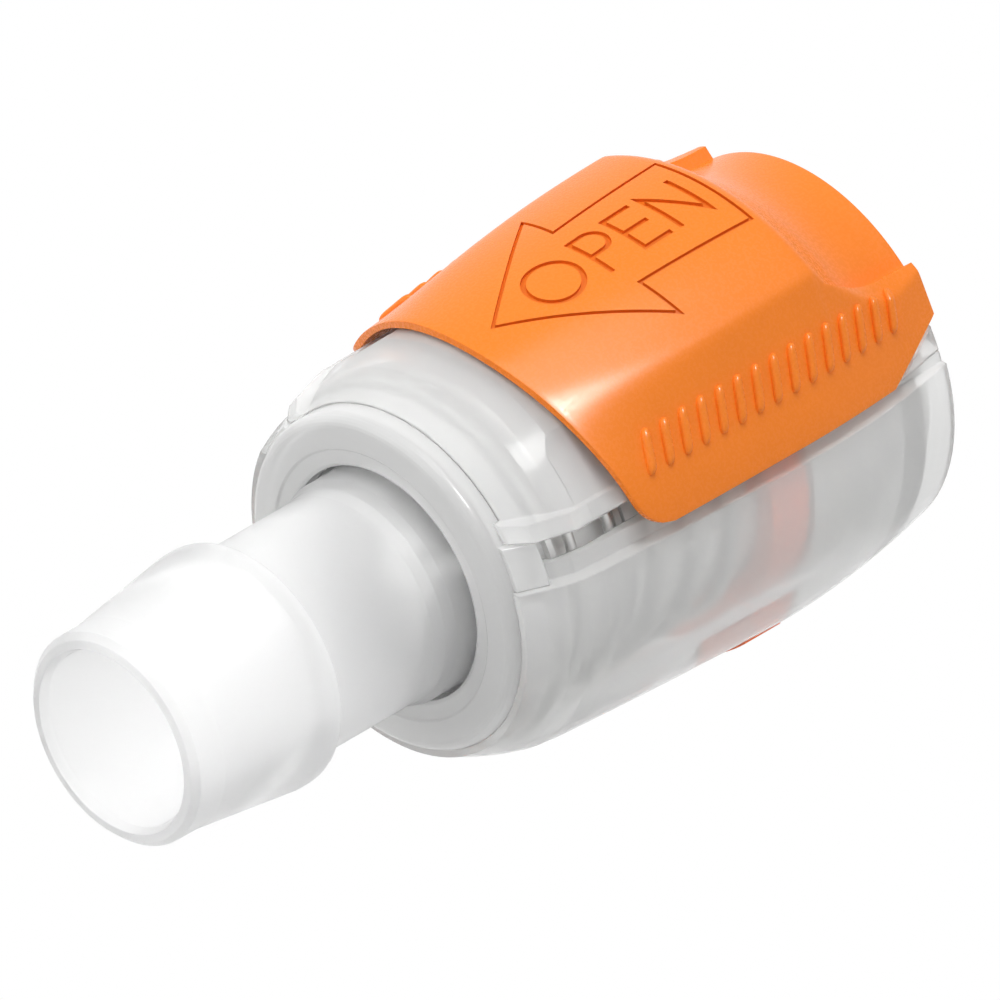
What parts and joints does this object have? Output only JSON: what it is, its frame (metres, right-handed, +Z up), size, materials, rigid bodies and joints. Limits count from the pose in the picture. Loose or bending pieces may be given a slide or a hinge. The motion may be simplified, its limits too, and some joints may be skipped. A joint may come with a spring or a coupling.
{
  "type": "valved quick coupling",
  "caption": "Translucent plastic valved quick coupling, female half, with a hose barb, a rounded two-shell housing and an orange sliding thumb latch over the socket.",
  "frame": {"origin": "centre of the socket's mouth, where the bore's wall ends", "axes": "+X out of the socket along the flow axis, the hose barb towards -X, +Z up through the latch, +Y by the right-hand rule"},
  "size_m": [0.0815, 0.0382, 0.0406],
  "materials": {
    "frosted_shell": "frosted translucent",
    "clear_barb": "translucent, smooth",
    "white_plastic": "satin",
    "orange_plastic": "satin",
    "ring_plastic": "satin",
    "valve_plastic": "satin",
    "seal_rubber": "matt",
    "spring_steel": "drawn wire"
  },
  "bodies": {
    "housing": {"hose_barb": "clear_barb", "barb_seal": "seal_rubber", "front_collar": "frosted_shell", "valve_body": "white_plastic", "poppet_guide": "valve_plastic", "poppet_spring": "spring_steel", "socket_seal": "seal_rubber", "backup_ring": "white_plastic", "seal_retainer": "valve_plastic", "collet": "white_plastic", "collet_clip": "spring_steel", "rear_ring": "white_plastic", "spring_washer": "valve_plastic", "latch_spring": "spring_steel", "upper_shell": "frosted_shell", "lower_shell": "frosted_shell"},
    "latch_slider": {"latch": "orange_plastic", "lock_ring": "ring_plastic"},
    "valve_poppet": {"poppet": "valve_plastic", "poppet_seal": "seal_rubber"}
  },
  "joints": [
    {"name": "latch_slide", "type": "slide", "parent": "housing", "child": "latch_slider", "axis": [-1, 0, 0], "range_m": [0, 0.006], "stiffness_N_per_m": 400, "springref_m": -0.012, "deforming": ["latch_spring"]},
    {"name": "poppet_slide", "type": "slide", "parent": "housing", "child": "valve_poppet", "axis": [-1, 0, 0], "range_m": [0, 0.005], "stiffness_N_per_m": 500, "springref_m": -0.004, "deforming": ["poppet_spring"]}
  ]
}
